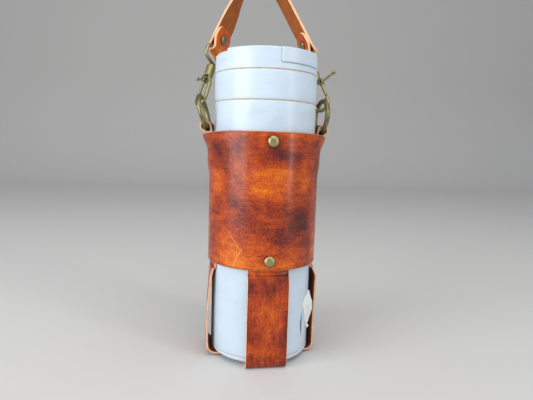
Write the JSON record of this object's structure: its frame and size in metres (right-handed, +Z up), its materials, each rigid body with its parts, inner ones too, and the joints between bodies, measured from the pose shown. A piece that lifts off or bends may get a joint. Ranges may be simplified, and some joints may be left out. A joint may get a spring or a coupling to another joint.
{
  "type": "insulated canteen",
  "caption": "Insulated cylindrical canteen with a screw lid, held in a riveted leather sleeve on crossed straps, with rings, swivel snaps and a short carry strap.",
  "frame": {"origin": "on the floor under the middle of the bottle, at the underside of the lower cross strap", "axes": "+Z up along the bottle's axis, -Y towards the front strap, +X to the right seen from the front"},
  "size_m": [0.1083, 0.1018, 0.3107],
  "materials": {
    "bottle_white": "satin moulded",
    "liner_steel": "brushed",
    "seal_rubber": "matt",
    "wrap_film": "matt",
    "saddle_leather": "waxed antique",
    "antique_brass": "antique",
    "dark_brass": "dark antique"
  },
  "bodies": {
    "holder": {"sleeve": "saddle_leather", "front_strap": "saddle_leather", "side_strap": "saddle_leather", "sleeve_rivet_caps": "antique_brass", "sleeve_rivet_posts": "antique_brass", "loop_rivets": "antique_brass"},
    "ring_l": {"ring_left": "antique_brass"},
    "ring_r": {"ring_right": "antique_brass"},
    "bail": {"carry_strap": "saddle_leather", "strap_rivet_caps": "dark_brass", "strap_rivet_posts": "dark_brass", "eye_left": "antique_brass", "eye_right": "antique_brass"},
    "snap_l": {"hook_left": "antique_brass", "gate_pin_left": "dark_brass"},
    "snap_r": {"hook_right": "antique_brass", "gate_pin_right": "dark_brass"},
    "trigger_l": {"gate_left": "antique_brass"},
    "trigger_r": {"gate_right": "antique_brass"},
    "bottle": {"bottle_wall": "bottle_white", "inner_wall": "liner_steel", "base_cap": "bottle_white", "label_flap": "wrap_film"},
    "seal": {"lid_seal": "seal_rubber"},
    "lid": {"lid_skirt": "bottle_white", "lid_top": "bottle_white", "lid_plug": "bottle_white", "grip_pad": "bottle_white"}
  },
  "joints": [
    {"name": "strap_swing", "type": "hinge", "parent": "holder", "child": "bail", "pos_m": [0, 0, 0.1829], "axis": [1, 0, 0], "range_deg": [-45, 0]},
    {"name": "ring_left_swing", "type": "hinge", "parent": "holder", "child": "ring_l", "pos_m": [-0.04291, -0.00066, 0.17112], "axis": [0.2079, 0.9781, 0], "range_deg": [-8.6, 0]},
    {"name": "ring_right_swing", "type": "hinge", "parent": "holder", "child": "ring_r", "pos_m": [0.04305, -0.00009, 0.17073], "axis": [-0.1045, 0.9945, 0], "range_deg": [0, 3.8]},
    {"name": "snap_left_swivel", "type": "hinge", "parent": "bail", "child": "snap_l", "pos_m": [-0.04117, 0.01446, 0.21709], "axis": [0.2588, 0.3618, 0.8956], "range_deg": [-6, 12]},
    {"name": "snap_right_swivel", "type": "hinge", "parent": "bail", "child": "snap_r", "pos_m": [0.04098, 0.01395, 0.21743], "axis": [-0.1392, 0.371, 0.9182], "range_deg": [-3, 6]},
    {"name": "trigger_left", "type": "hinge", "parent": "snap_l", "child": "trigger_l", "pos_m": [-0.04539, 0.01408, 0.20841], "axis": [-0.8008, -0.4381, 0.4084], "range_deg": [0, 22], "stiffness_Nm_per_rad": 0.05, "springref_deg": -11.46},
    {"name": "trigger_right", "type": "hinge", "parent": "snap_r", "child": "trigger_r", "pos_m": [0.04507, 0.0089, 0.21029], "axis": [0.568, 0.7894, -0.2328], "range_deg": [0, 22], "stiffness_Nm_per_rad": 0.05, "springref_deg": -11.46},
    {"name": "bottle_lift", "type": "slide", "parent": "holder", "child": "bottle", "axis": [0, 0, 1], "range_m": [0, 0.003]},
    {"name": "lid_rise", "type": "slide", "parent": "bottle", "child": "seal", "axis": [0, 0, 1], "range_m": [0, 0.0024]},
    {"name": "lid_turn", "type": "hinge", "parent": "seal", "child": "lid", "pos_m": [0, 0, 0.2], "axis": [0, 0, 1], "range_deg": [0, 288]}
  ],
  "couplings": [
    {"joint": "lid_rise", "follows": "lid_turn", "m_per_rad": 0.0004774},
    {"joint": "ring_left_swing", "follows": "strap_swing", "ratio": 0.19},
    {"joint": "ring_right_swing", "follows": "strap_swing", "ratio": -0.084}
  ]
}
